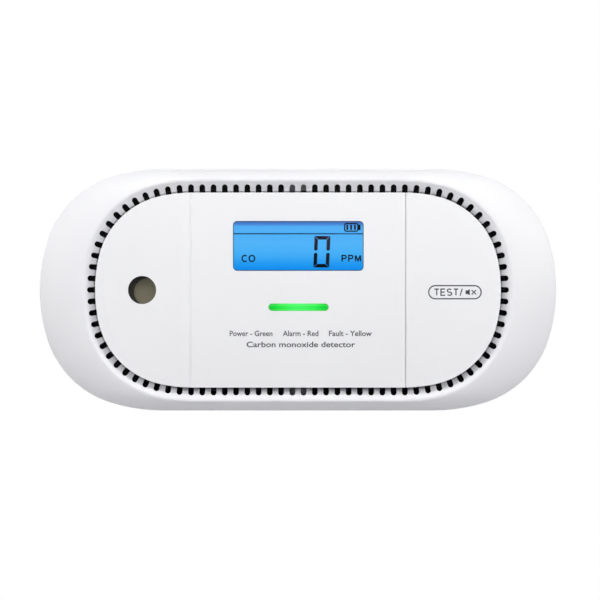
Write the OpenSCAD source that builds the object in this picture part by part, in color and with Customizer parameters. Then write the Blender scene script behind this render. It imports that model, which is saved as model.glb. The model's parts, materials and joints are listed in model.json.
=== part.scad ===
// Wall-hung carbon monoxide alarm with a display, a status bar and a press panel for its test switch.
// Frame: origin in the middle of the wall plate's back face, +X to the right as seen from the room,
// +Z up, and the front faces -Y. Depths are measured from the wall towards the room, so depth = -Y.

/* [Body] */
// Length of the alarm from end to end
body_w = 160; // [158:0.5:164]
// Height of the alarm
body_h = 74.8; // [74:0.2:77]
// Depth from the wall to the front panel's face
body_d = 36; // [35.5:0.1:37]
// Thickness of the moulded walls
wall = 2.2; // [2:0.1:2.4]

/* [Front panel] */
// Length of the flat front panel
panel_w = 125.5; // [124:0.1:127]
// Height of the flat front panel
panel_h = 60.3; // [59.6:0.1:61]
// Gap between the fixed panel and the press panel
seam = 0.2; // [0.2:0.05:0.4]
// Height of the panel's face above the tray behind it
panel_rise = 3.8; // [3.4:0.1:4]

/* [Vents] */
// Width of one vent slot
slot_w = 1.75; // [1.4:0.05:2]
// Number of slots along each straight side
straight_slots = 20; // [16:2:20]
// Number of slot spacings round each end
end_steps = 28; // [24:2:28]

/* [Press panel] */
// Radius of the press panel's pivot pins
pivot_r = 1.2; // [1:0.1:1.3]
// Radial running clearance of both hinges
hinge_gap = 0.05; // [0.03:0.01:0.1]

/* [Battery] */
// Diameter of the battery cell
cell_dia = 17; // [16.6:0.1:17]
// Length of the battery cell, with its terminal
cell_len = 34.5; // [34:0.1:34.5]

/* [Wall plate] */
// Distance between the two wall screw holes
screw_pitch = 50; // [40:1:52]
// Radius of a wall screw hole
screw_r = 2.2; // [2:0.1:2.5]
// Height of the wall plate
plate_h = 44; // [42:1:46]
// Length of each hook that carries the alarm, and of its lift
hook_len = 12; // [10:0.5:13]

/* [Hidden] */
$fn = 48;

// Depths from the wall
back_d = 0.5;
part_d = 13;
tray_front = body_d - panel_rise;
tray_t = 1.6;
tray_back = tray_front - tray_t;
crest_d = body_d - 0.5;
edge_fall = 4.6;
rim_w = 0.45;
panel_t = 1.8;
panel_back = body_d - panel_t;
skirt_in = 0.4;
moat_w = 0.5;
moat_t = 2.3;
moat_rib = 1.2;
board_front = 26.2;
board_t = 1.6;
board_back = board_front - board_t;
glass_d = board_front + 4.8;
chip_pos = [-1, -14];
chip_w = 10;
coil_pos = [-20, -14];
board_mid = [66, 53];
board_ends = [118, 42];

// Outer outline: an end arc, a tighter corner arc and a shoulder arc that runs into the straight side
outer = [body_w / 2, body_h / 2, 50.4, 29.85, 18.3, body_w / 2 - 38.1];
// Panel outline, of the same family
panel = [panel_w / 2, panel_h / 2, 45.3, 24.95, 13.3, panel_w / 2 - 30.25];
groove_w = 3.8;
slot_mid = 1.09;
slot_out = 2.53;
slot_in = -0.25;
rear_step = 0.8;

// Press panel and its pivot
seam_x = 33.3;
seam_r = 0.8;
seam_t = 0.2;
twin_r = 0.48;
twin_t = 0.42;
ledge_d = body_d - 0.9;
ledge_w = 0.7;
pivot_x = 36.5;
pivot_d = tray_back + 1;
pivot_z = 20;
press_x = 50;
plunger_top = 30.7;

// Display, status bar and sounder port
lcd_x = 0.1;
lcd_z = 13.65;
window_w = 40.4;
window_h = 15.4;
bar_x = 0.2;
bar_z = -5.3;
bar_w = 18.6;
bar_h = 2.3;
port_x = -48.2;
sensor_x = -47;
port_r = 4.35;
disc_r = 12;
disc_d = panel_back - 0.7;
seat_r = disc_r + 1.4;
gasket_r = 8;
gasket_shift = [1.2, -0.35];

// Battery well and its door
cell_x = 51;
cell_r = cell_dia / 2;
cell_d = 3.1 + cell_r;
cell_z0 = -17.25;
neg_z = -20.02;
pos_z = cell_z0 + cell_len + 0.02;
contact_t = 0.35;
well_roof = cell_d + cell_r + 0.2;
door_x0 = 40.4;
door_hinge_x = 63;
door_hinge_d = 2.6;
door_z = 21.4;
barrel_r = 1.5;
hinge_pin_r = 0.9;
barrel_z = 17.5;

// Wall plate rails
plate_core = 30;
plate_tongue = 33.6;
plate_t = 2.4;
channel_x = 34.2;
channel_d = 3.4;
hook_z = [-20, 6];

// Posts between the halves of the case, behind the two middle vent slots
stop_z = 31.6;
// Connector strips above and below the display's light guide
strip_z = 8.6;

boss_pos = [[-39.5, 25.6], [39.5, 25.6], [-39.5, -25.6], [39.5, -25.6]];
stake_pos = [[-28, 18], [-28, -18], [28, 18], [28, -18], [-10, -22], [10, -22]];
board_screw_pos = [[-29.5, 22.8], [29.5, 22.8], [-29.5, -22.8], [29.5, -22.8]];

// ---------- outlines ----------

function arc_pts(c, r, a0, a1, n) =
    [for (i = [0:n - 1]) let (a = a0 + (a1 - a0) * i / n) c + r * [cos(a), sin(a)]];

function end_centre(o) = [o[0] - o[2], 0];
function corner_centre(o) = end_centre(o) + (o[2] - o[3]) * [cos(o[4]), sin(o[4])];
function shoulder_r(o) = let (k = corner_centre(o), w = k.x - o[5], h = o[1] - k.y)
    (w * w + h * h - o[3] * o[3]) / (2 * (h - o[3]));
function shoulder_centre(o) = [o[5], o[1] - shoulder_r(o)];
function shoulder_a(o) = let (k = corner_centre(o), s = shoulder_centre(o)) atan2(k.y - s.y, k.x - s.x);

// A quarter of the outline, from the end round to the start of the straight side, grown by off
function quarter(o, off) = concat(
    arc_pts(end_centre(o), o[2] + off, 0, o[4], 4),
    arc_pts(corner_centre(o), o[3] + off, o[4], shoulder_a(o), 14),
    arc_pts(shoulder_centre(o), shoulder_r(o) + off, shoulder_a(o), 90, 5),
    [[o[5], o[1] + off]]);

function outline(o, off = 0) = let (
    q = quarter(o, off),
    m = len(q),
    top = concat(q, [for (i = [m - 1:-1:0]) [-q[i].x, q[i].y]]))
    concat(top, [for (i = [2 * m - 2:-1:1]) [top[i].x, -top[i].y]]);

function mix(a, b, t) = a + (b - a) * t;
function at_depth(pts, d) = [for (p = pts) [p.x, -d, p.y]];

// A point on an arc, with its outward angle
function arc_point(c, r, a) = concat(c + r * [cos(a), sin(a)], a);

// A point on the slot line s mm round from the end of the straight side, with its outward angle
function on_end(o, off, s) = let (
    re = o[2] + off,
    rc = o[3] + off,
    rs = shoulder_r(o) + off,
    a1 = shoulder_a(o),
    l1 = rs * (90 - a1) * PI / 180,
    l2 = rc * (a1 - o[4]) * PI / 180)
    s < l1 ? arc_point(shoulder_centre(o), rs, 90 - s / rs * 180 / PI)
    : s < l1 + l2 ? arc_point(corner_centre(o), rc, a1 - (s - l1) / rc * 180 / PI)
    : arc_point(end_centre(o), re, o[4] - (s - l1 - l2) / re * 180 / PI);
function end_len(o, off) = let (a1 = shoulder_a(o)) PI / 180
    * ((shoulder_r(o) + off) * (90 - a1) + (o[3] + off) * (a1 - o[4]) + (o[2] + off) * o[4]);

// ---------- building blocks ----------

// Extrudes an XZ shape from depth d0 to depth d1
module slab(d0, d1) { rotate([90, 0, 0]) translate([0, 0, d0]) linear_extrude(d1 - d0) children(); }

module block(x0, x1, d0, d1, z0, z1) { translate([x0, -d1, z0]) cube([x1 - x0, d1 - d0, z1 - z0]); }

module post(p, d0, d1, r) { translate([p[0], -d0, p[1]]) rotate([90, 0, 0]) cylinder(h = d1 - d0, r = r); }

module ring(p, d0, d1, r, ri) {
    difference() {
        post(p, d0, d1, r);
        post(p, d0 - 1, d1 + 1, ri);
    }
}

// A cylinder along Z
module rod(x, d, z0, z1, r) { translate([x, -d, z0]) cylinder(h = z1 - z0, r = r); }

module rounded(w, h, r) {
    square([w - 2 * r, h], center = true);
    square([w, h - 2 * r], center = true);
    for (sx = [-1, 1], sz = [-1, 1]) translate([sx * (w / 2 - r), sz * (h / 2 - r)]) circle(r);
}

module outline2d(o, off = 0) { polygon(outline(o, off)); }

// A closed skin through rings of equal length, with flat ends
module skin(rings) {
    n = len(rings[0]);
    m = len(rings);
    sides = [for (j = [0:m - 2], i = [0:n - 1])
        let (a = j * n + i, b = j * n + (i + 1) % n) [a, a + n, b + n, b]];
    polyhedron(
        points = [for (r = rings) each r],
        faces = concat([[for (i = [0:n - 1]) i]], sides, [[for (i = [n - 1:-1:0]) (m - 1) * n + i]]));
}

// A pan-head screw along the depth axis, its head at the wall side
module screw(p, d0, len, r, head_r, head_h) {
    difference() {
        union() {
            post(p, d0, d0 + head_h, head_r);
            post(p, d0 + head_h - 0.1, d0 + len, r);
        }
        for (a = [0, 90]) translate([p[0], -d0, p[1]]) rotate([0, a, 0])
            cube([head_r * 1.3, head_h, 0.55], center = true);
    }
}

module slot_cut() {
    translate([-slot_w / 2, slot_in - slot_mid]) square([slot_w, slot_out - slot_in - slot_w / 2]);
    translate([0, slot_out - slot_mid - slot_w / 2]) circle(slot_w / 2, $fn = 32);
}

// Puts children, drawn pointing along +Z, at every vent slot
module at_slots() {
    half = end_len(panel, slot_mid);
    pitch = (2 * panel[5] + 1.2) / (straight_slots - 1);
    past = 0.6;
    step = (half - past) / (end_steps / 2);
    for (sz = [0, 180]) {
        for (i = [0:straight_slots - 1]) rotate(sz)
            translate([-panel[5] - past + i * pitch, panel[1] + slot_mid]) children();
    }
    for (sx = [0, 1], sz = [0, 1], j = [1:end_steps / 2 - 1 + sz])
        let (q = on_end(panel, slot_mid, past + j * step))
        mirror([sx, 0]) mirror([0, sz]) translate([q[0], q[1]]) rotate(q[2] - 90) children();
}

// ---------- wall side ----------

module wall_plate() color("whitesmoke") {
    difference() {
        union() {
            slab(0, plate_t) rounded(2 * plate_core, plate_h, 4);
            for (z0 = hook_z) block(-plate_tongue, plate_tongue, plate_t - 0.8, plate_t, z0, z0 + hook_len);
        }
        for (s = [-1, 1]) {
            post([s * screw_pitch / 2, 0], -1, plate_t + 1, screw_r);
            translate([s * screw_pitch / 2, -plate_t - 0.01, 0]) rotate([-90, 0, 0])
                cylinder(h = 1.2, r1 = screw_r + 1.2, r2 = screw_r);
            // Shallow relief panels above and below the screw line
            slab(plate_t - 0.5, plate_t + 1) translate([0, s * (plate_h / 2 - 7)]) rounded(44, 7, 2);
        }
        // Arrow that marks the way up
        slab(plate_t - 0.4, plate_t + 1) translate([0, -2]) polygon([[-4, 0], [0, 6], [4, 0]]);
    }
}

// ---------- rear housing ----------

rear_rings = [[6.6, 0.5], [4.3, 0.9], [2.9, 1.9], [2, 3.4], [1.3, 6], [0.9, 9.5], [rear_step, part_d - 0.2]];

module rear_cavity() {
    slab(3, 5.2) outline2d(outer, -7.4);
    slab(5, part_d + 1) outline2d(outer, -wall - 1.2);
}

module bracket_channel() {
    // Open at the bottom, so that the alarm lifts off the plate
    block(-channel_x, channel_x, 0, channel_d, -body_h / 2 - 1, plate_h / 2 + 0.1);
}

module channel_floor() {
    intersection() {
        block(-channel_x - 1.6, channel_x + 1.6, 1.5, channel_d + 1.6, -body_h / 2, plate_h / 2 + 1.7);
        slab(1, 6) outline2d(outer, -5.5);
    }
}

// The room that the cell and its contacts stand in, between two depths
module cell_room(d0, d1) {
    block(cell_x - cell_r - 0.2, cell_x + cell_r + 0.2, d0, d1, neg_z - 0.08, pos_z + contact_t + 0.18);
}

module battery_well() {
    difference() {
        union() {
            block(cell_x - cell_r - 1.4, cell_x + cell_r + 1.4, 2, well_roof + 1.3, -21.4, 19.2);
            block(door_x0 - 1.6, door_hinge_x + 3.8, 2, 5.6, -door_z - 1.5, door_z + 1.5);
        }
        cell_room(-1, well_roof);
        // Slots in the roof for the contact tabs
        for (z = [neg_z, pos_z])
            block(cell_x - 2.3, cell_x + 2.3, well_roof - 1, well_roof + 2, z - 0.2, z + contact_t + 0.2);
    }
}

module door_recess() {
    block(door_x0 - 0.3, door_hinge_x + 2.5, -1, 2.6, -door_z - 0.3, door_z + 0.3);
    block(door_hinge_x - 1.8, door_hinge_x + 2.5, -1, door_hinge_d + 1.8, -barrel_z - 0.3, barrel_z + 0.3);
    // Finger notch beside the door's free edge
    block(door_x0 - 2.6, door_x0 + 2, -1, 2.2, -6, 6);
}

// Round eyes that the door's stub pins turn in
module door_eyes() {
    for (s = [-1, 1]) {
        z0 = s > 0 ? barrel_z + 0.3 : -barrel_z - 2.9;
        rod(door_hinge_x, door_hinge_d, z0, z0 + 2.6, 1.85);
        block(door_hinge_x - 1.85, door_hinge_x + 1.85, door_hinge_d, 5, z0, z0 + 2.6);
    }
}

module rear_housing() color("whitesmoke") {
    difference() {
        union() {
            housing_body();
            door_eyes();
        }
        rod(door_hinge_x, door_hinge_d, -barrel_z - 2.2, barrel_z + 2.2, hinge_pin_r + hinge_gap);
    }
    // Lips that hook behind the wall plate's tongues
    for (sx = [-1, 1], z0 = hook_z) {
        x0 = sx > 0 ? plate_core + 0.5 : -channel_x - 0.8;
        block(x0, x0 + channel_x - plate_core + 0.3, back_d, plate_t - 1.1, z0, z0 + hook_len);
    }
}

module housing_body() {
    difference() {
        union() {
            difference() {
                skin([for (r = rear_rings) at_depth(outline(outer, -r[0]), r[1])]);
                rear_cavity();
            }
            channel_floor();
            battery_well();
            // Tongue that locates inside the front cover
            difference() {
                slab(6, part_d + 2.6) outline2d(outer, -wall - 0.15);
                slab(5, part_d + 3) outline2d(outer, -wall - 1.3);
            }
            for (p = boss_pos) post(p, 2.6, part_d + 0.5, 3.4);
            // Posts that stand behind the two middle vent slots at the top and bottom
            for (s = [-1, 1]) block(-3.8, 3.8, 3.5, 28.6, s * stop_z - 0.8, s * stop_z + 0.8);
            // Ribs that hold the sensor
            for (s = [-1, 1]) block(-58, -36.5, 2.6, 8, s * 8 - 0.6, s * 8 + 0.6);
        }
        bracket_channel();
        door_recess();
        cell_room(0, 5);
        for (p = boss_pos) {
            post(p, 0, 3.6, 3.1);
            post(p, 0, part_d + 2, 1.5);
        }
        // Seat of the rating label
        slab(back_d - 1, back_d + 0.3) translate([-52, 0]) rounded(23, 40, 1.5);
        // Sound and air slots near the sensor end
        for (i = [-3:3]) block(-68.5, -66, 0, 6, i * 3.6 - 0.9, i * 3.6 + 0.9);
    }
}

// ---------- front cover ----------

// The face falls from its crest to its edge in a shallow dome
function dome(t) = edge_fall * (0.55 * t + 0.45 * t * t);

// A closed line on the face, t of the way from the rim to the edge, and sink mm below the dome
function cover_ring(t, off, sink) = let (out = outline(outer, off), crest = outline(panel, groove_w + rim_w))
    [for (i = [0:len(out) - 1]) let (p = mix(crest[i], out[i], t)) [p.x, sink + dome(t) - crest_d, p.y]];

module cover_outside() {
    skin(concat(
        [at_depth(outline(outer), part_d)],
        // The edge's small round, then the dome up to the narrow rim round the vents
        [for (e = [[0, 0.46], [0.08, 0.18], [0.3, 0]]) cover_ring(1, -e[0], e[1])],
        [for (t = [0.84, 0.66, 0.44, 0.22, 0.08, 0]) cover_ring(t, 0, 0)],
        [at_depth(outline(panel, groove_w), crest_d + 0.03),
         at_depth(outline(panel, groove_w - 0.5), crest_d - 0.18),
         at_depth(outline(panel, 0), tray_front)]));
}

module cover_inside() {
    skin([
        at_depth(outline(outer, -wall), part_d - 1),
        cover_ring(1, -wall, 1.2),
        cover_ring(0.5, -wall, 2.4),
        at_depth(outline(panel, groove_w + 0.2), crest_d - 2.7),
        at_depth(outline(panel, 1.1), tray_back)]);
}

module front_cover() color("white") {
    difference() {
        union() {
            difference() {
                cover_outside();
                cover_inside();
            }
            for (p = boss_pos) post(p, part_d + 0.6, tray_back + 0.4, 3.2);
            for (p = board_screw_pos) post(p, board_front, tray_back + 0.4, 2.4);
            // Thicker floor under the moat
            slab(tray_back - moat_rib, tray_back + 0.5) difference() {
                outline2d(panel, moat_w + 1.1);
                outline2d(panel, -skirt_in - 1.2);
            }
            // Seat of the sounder's disc
            post([port_x, 0], disc_d - 3.6, panel_back - 0.1, seat_r);
        }
        slab(tray_back - 2, body_d + 1) at_slots() slot_cut();
        // Narrow moat round the front panel's skirt
        slab(tray_front - moat_t, body_d) difference() {
            outline2d(panel, moat_w);
            outline2d(panel, 0.05 - skirt_in);
        }
        for (p = boss_pos) post(p, part_d - 1, tray_back - 4, 1.15);
        for (p = board_screw_pos) post(p, board_front - 1, tray_back, 0.85);
        // Sounder cavity with a shoulder that the disc seats against
        post([port_x, 0], disc_d - 5, disc_d, disc_r + 0.2);
        post([port_x, 0], disc_d - 5, body_d, disc_r - 1.2);
        // Openings for the display, the status bar and the press panel
        slab(tray_back - 1, tray_front + 1) translate([lcd_x, lcd_z]) square([48, 23.4], center = true);
        slab(tray_back - 1, tray_front + 1) translate([bar_x, bar_z])
            square([bar_w + 4, bar_h + 4], center = true);
        post([press_x, 0], tray_back - 1, tray_front + 1, 3.4);
        for (z = pivot_z * [-1, 1])
            block(pivot_x - 3, pivot_x + 3, tray_back - 1, tray_front + 1, z - 4, z + 4);
        // Holes for the face plate's stakes
        for (p = stake_pos) post(p, tray_back - 1, tray_front + 1, 1.3);
    }
    // Eyes that the press panel's pins turn in
    difference() {
        for (z = pivot_z * [-1, 1])
            block(pivot_x - 3.4, pivot_x + 3.4, pivot_d - 2.4, tray_front, z - 1.2, z + 1.2);
        rod(pivot_x, pivot_d, -30, 30, pivot_r + hinge_gap);
    }
}

// ---------- front panel ----------

// Everything of the panel outline between two lengths
module panel_part(x0, x1, off = 0) {
    intersection() {
        outline2d(panel, off);
        translate([x0, -body_h]) square([x1 - x0, 2 * body_h]);
    }
}

// A round groove of radius r and depth t across the panel
module panel_groove(x, r, t) { rod(x, body_d + r - t, -body_h, body_h, r); }

// A plate with a skirt set a little in from its free edge
module panel_shell(x0, x1, foot) {
    slab(panel_back, body_d) panel_part(x0, x1);
    difference() {
        slab(foot, panel_back + 0.1) panel_part(x0, x1, -skirt_in);
        slab(foot - 1, panel_back + 1) panel_part(-body_w, body_w, -skirt_in - 1.2);
    }
}

module face_plate() color("white") {
    difference() {
        union() {
            panel_shell(-panel_w / 2 - 1, seam_x - seam / 2, tray_front + 0.02);
            for (p = stake_pos) post(p, tray_back - 0.8, panel_back + 0.1, 1.2);
        }
        slab(panel_back - 1, body_d + 1) translate([lcd_x, lcd_z]) rounded(window_w, window_h, 1.3);
        slab(panel_back - 1, body_d + 1) translate([bar_x, bar_z]) rounded(bar_w, bar_h, bar_h / 2 - 0.01);
        post([port_x, 0], panel_back - 1, body_d + 1, port_r);
        // The rounded seam, and a narrower groove that balances it at the other end
        panel_groove(seam_x, seam_r, seam_t);
        panel_groove(-seam_x, twin_r, twin_t);
    }
    // Ledge that closes the view through the seam
    slab(panel_back, ledge_d) panel_part(seam_x - 1, seam_x + ledge_w, -skirt_in);
}

module test_button() color("white") {
    difference() {
        panel_shell(seam_x + seam / 2, panel_w / 2 + 1, tray_front + 1);
        panel_groove(seam_x, seam_r, seam_t);
        // Rebate over the face plate's ledge
        block(seam_x - 1, seam_x + ledge_w + 0.2, tray_front, ledge_d + 0.15, -body_h, body_h);
    }
    // Pusher over the test switch
    post([press_x, 0], plunger_top + 0.05, panel_back + 0.1, 1.6);
    for (a = [0, 90]) translate([press_x, -panel_back + 0.6, 0]) rotate([0, a, 0])
        cube([5.6, 1.2, 1], center = true);
    // Lugs with the pivot pins
    for (s = [-1, 1]) {
        lug_z = s * (pivot_z + 2.4);
        block(pivot_x - 1.8, pivot_x + 1.8, pivot_d - 1.8, panel_back + 0.1, lug_z - 0.9, lug_z + 0.9);
        rod(pivot_x, pivot_d, lug_z - (s > 0 ? 3.9 : 0), lug_z + (s > 0 ? 0 : 3.9), pivot_r);
    }
}

module vent_screen() color("#1a1a1a") {
    difference() {
        slab(tray_back - moat_rib - 0.3, tray_back - moat_rib - 0.02) difference() {
            outline2d(panel, groove_w - 0.7);
            outline2d(panel, -2.6);
        }
        for (s = [-1, 1]) block(-4.2, 4.2, 20, 33, s * stop_z - 3, s * stop_z + 3);
        for (p = boss_pos) post(p, 20, 33, 3.5);
        post([port_x, 0], 20, 33, seat_r + 0.3);
    }
}

// ---------- display and status bar ----------

module display_window() color("lightblue") {
    slab(panel_back - 0.8, panel_back) translate([lcd_x, lcd_z]) rounded(window_w + 3, window_h + 3, 1);
    slab(panel_back - 0.1, body_d - 0.7) translate([lcd_x, lcd_z])
        rounded(window_w - 0.1, window_h - 0.1, 1.2);
}

// The two connector strips stand above and below the display's light guide
module zebra_places(d0, d1) {
    for (s = [-1, 1]) slab(d0, d1) translate([lcd_x, lcd_z + s * strip_z]) children();
}

module lcd_frame() color("white") {
    difference() {
        slab(board_front, panel_back - 0.9) translate([lcd_x, lcd_z]) square([47, 22.4], center = true);
        slab(board_front + 1.2, panel_back) translate([lcd_x, lcd_z]) square([44.2, 19.8], center = true);
        slab(board_front - 1, board_front + 2) translate([lcd_x, lcd_z]) square([38, 12], center = true);
        // Slot that the connector strips stand in
        zebra_places(board_front - 1, board_front + 2) square([40.4, 2], center = true);
    }
}

module lcd_glass() color("lightsteelblue") {
    slab(glass_d, glass_d + 1.1) translate([lcd_x, lcd_z]) square([44, 19.6], center = true);
    slab(glass_d + 1.1, glass_d + 2.2) translate([lcd_x, lcd_z]) square([44, 16.4], center = true);
}

module lcd_backlight() color("aliceblue") {
    slab(board_front + 1.25, glass_d - 0.05) translate([lcd_x, lcd_z]) square([41, 15], center = true);
}

module backlight_led() color("gold") {
    block(lcd_x - 22, lcd_x - 20.6, glass_d - 2.6, glass_d - 0.6, lcd_z - 5, lcd_z + 5);
}

module zebra_strips() color("dimgray") {
    zebra_places(board_front + 0.02, glass_d - 0.02) square([40, 1.8], center = true);
}

module light_pipe() color("limegreen") {
    translate([bar_x, 0, bar_z]) {
        slab(board_front + 1.8, body_d + 0.1) rounded(bar_w - 0.1, bar_h - 0.1, bar_h / 2 - 0.06);
        slab(panel_back - 0.9, panel_back - 0.05) square([bar_w + 2.4, bar_h + 2.4], center = true);
    }
}

module status_leds() color("lightyellow") {
    for (i = [-1:1]) translate([bar_x + 6 * i, 0, bar_z])
        block(-1, 1, board_front, board_front + 0.9, -0.7, 0.7);
}

// ---------- circuit board ----------

module circuit_board() color("darkgreen") {
    difference() {
        slab(board_back, board_front) union() {
            square(board_mid, center = true);
            square(board_ends, center = true);
        }
        for (p = board_screw_pos) post(p, board_back - 1, board_front + 1, 1.3);
        for (z = [neg_z, pos_z])
            block(cell_x - 2.3, cell_x + 2.3, board_back - 1, board_front + 1, z - 0.2, z + contact_t + 0.2);
        for (z = [-26.5, 26.5]) block(-4.4, 4.4, board_back - 1, board_front + 1, z - 1, z + 1);
    }
}

module test_switch() color("dimgray") {
    difference() {
        block(press_x - 3, press_x + 3, board_front, board_front + 3.5, -3, 3);
        post([press_x, 0], board_front + 2.3, board_front + 5, 1.75);
    }
    // Solder feet
    for (sx = [-1, 1], z = [-3.6, 3.6]) translate([press_x + 2.2 * sx, 0, z])
        block(-0.3, 0.3, board_front, board_front + 0.4, -0.65, 0.65);
}

module switch_plunger() color("black") {
    post([press_x, 0], board_front + 2.7, plunger_top, 1.7);
}

module microcontroller() color("#222222") {
    translate([chip_pos[0], -board_back + 0.1, chip_pos[1]])
        translate([-chip_w / 2, 0, -chip_w / 2]) cube([chip_w, 1.3, chip_w]);
}

// Eight leads along each side of the chip
module controller_leads() color("silver") {
    reach = chip_w / 2 + 0.7;
    translate([chip_pos[0], -board_back, chip_pos[1]]) for (side = [0:90:270]) rotate([0, side, 0])
        for (i = [-3.5:3.5]) translate([i * 1.1 - 0.2, 0, reach - 0.65]) cube([0.4, 0.5, 1.3]);
}

module sounder_coil() color("#333333") {
    difference() {
        post(coil_pos, board_back - 8, board_back, 4.5);
        ring(coil_pos, board_back - 6.6, board_back - 1.4, 5, 2.4);
    }
}

module coil_winding() color("peru") { ring(coil_pos, board_back - 6.55, board_back - 1.45, 4, 2.45); }

module capacitors() color("royalblue") {
    for (p = [[14, -14], [24, -12]]) post(p, board_back - 11, board_back, 3.15);
    post([14, 14], board_back - 8, board_back, 2.5);
}

module chip(x, z, w, h) { block(x - w / 2, x + w / 2, board_back - 0.6, board_back, z - h / 2, z + h / 2); }

module chip_parts() color("tan") {
    for (i = [0:5]) chip(8.5 + i * 3.2, -1, 1, 2);
    for (i = [0:4]) chip(-15 + i * 3.4, 8.6, 2, 1.2);
    for (i = [0:3]) chip(-27, -3.4 + i * 3, 2, 1.2);
}

module board_screws() color("silver") {
    for (p = board_screw_pos) screw(p, board_back - 1.3, 6.2, 0.8, 2, 1.3);
}

// ---------- sounder ----------

module sounder_diaphragm() color("darkkhaki") { post([port_x, 0], disc_d - 0.25, disc_d, disc_r); }

module sounder_ceramic() color("whitesmoke") { post([port_x, 0], disc_d - 0.5, disc_d - 0.25, 8.4); }

// Ring between the disc and the panel, set a little to one side of the port
module sounder_gasket() color("dimgray") {
    ring([port_x, 0] + gasket_shift, disc_d, panel_back, gasket_r, port_r);
}

module sounder_clamp() color("white") { ring([port_x, 0], disc_d - 3.4, disc_d - 0.25, disc_r, disc_r - 1.8); }

// Two bent strips that carry the drive signal from the board to the disc
module sounder_springs() color("gold") {
    t = 0.25;
    for (c = [[-3, disc_d - 0.52], [6.8, disc_d - 0.27]]) translate([port_x + c[0], 0, -0.8])
        linear_extrude(1.6) polygon([
            [0, -board_front], [3, -board_front], [3, -board_front - t], [0.6, -board_front - t],
            [2.2, -c[1] + t], [3.4, -c[1] + t], [3.4, -c[1]], [2, -c[1]], [0, -board_front - t]]);
}

// ---------- gas sensor ----------

module co_sensor() color("#dddddd") { post([sensor_x, 0], 10.2, board_back - 0.6, 10); }

module sensor_cap() color("#444444") {
    difference() {
        post([sensor_x, 0], 8.4, 10.2, 8.6);
        for (a = [0:60:300]) post([sensor_x + 3.4 * cos(a), 3.4 * sin(a)], 8, 11, 0.8);
    }
}

module sensor_pins() color("gold") {
    for (a = [90, 210, 330])
        post([sensor_x + 6 * cos(a), 6 * sin(a)], board_back - 0.6, board_back, 0.5);
}

// ---------- battery ----------

module battery_cell() color("silver") {
    rod(cell_x, cell_d, cell_z0, cell_z0 + cell_len - 1.2, cell_r - 0.35);
    rod(cell_x, cell_d, cell_z0 + cell_len - 1.3, cell_z0 + cell_len, 3.2);
}

module cell_sleeve() color("steelblue") {
    difference() {
        rod(cell_x, cell_d, cell_z0 + 0.3, cell_z0 + cell_len - 1.6, cell_r);
        rod(cell_x, cell_d, cell_z0 - 1, cell_z0 + cell_len + 1, cell_r - 0.3);
    }
}

// Flattened coil between the cell and its contact
module battery_spring() color("silver") {
    for (i = [0:2]) translate([cell_x, -cell_d, neg_z + 0.7 + i * 0.86])
        rotate_extrude() translate([5.4 - i * 1.3, 0]) circle(0.33, $fn = 24);
}

module contact(z0) {
    block(cell_x - 5.5, cell_x + 5.5, cell_d - 5, cell_d + 5, z0, z0 + contact_t);
    block(cell_x - 2, cell_x + 2, cell_d, board_front + 0.4, z0, z0 + contact_t);
}

module negative_contact() color("silver") { contact(neg_z); }
module positive_contact() color("silver") { contact(pos_z); }

module battery_door() color("whitesmoke") {
    difference() {
        union() {
            block(door_x0, door_hinge_x, back_d, 2.3, -door_z, door_z);
            rod(door_hinge_x, door_hinge_d, -barrel_z, barrel_z, barrel_r);
        }
        // Grip ridges near the catch
        for (i = [0:4]) block(door_x0 + 3 + i * 1.6, door_x0 + 3.7 + i * 1.6, 0, back_d + 0.4, -8, 8);
        // Room for the hinge sockets
        for (s = [-1, 1]) block(door_hinge_x - 2.2, door_hinge_x + 3, -1, 4, s * 20 - 2.45, s * 20 + 2.45);
    }
    rod(door_hinge_x, door_hinge_d, -barrel_z - 2, barrel_z + 2, hinge_pin_r);
}

module rating_label() color("silver") {
    slab(back_d + 0.1, back_d + 0.3) translate([-52, 0]) rounded(22.4, 39.4, 1.2);
}

module housing_screws() color("silver") {
    for (p = boss_pos) screw(p, 1.4, 20, 1.1, 2.7, 2.1);
}

wall_plate();
rear_housing();
front_cover();
face_plate();
test_button();
vent_screen();
display_window();
lcd_frame();
lcd_glass();
lcd_backlight();
backlight_led();
zebra_strips();
light_pipe();
status_leds();
circuit_board();
test_switch();
switch_plunger();
sounder_diaphragm();
sounder_ceramic();
sounder_gasket();
sounder_clamp();
sounder_springs();
co_sensor();
sensor_cap();
sensor_pins();
microcontroller();
controller_leads();
sounder_coil();
coil_winding();
capacitors();
chip_parts();
board_screws();
housing_screws();
battery_cell();
cell_sleeve();
battery_spring();
negative_contact();
positive_contact();
battery_door();
rating_label();
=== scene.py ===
import json
import math

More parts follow.
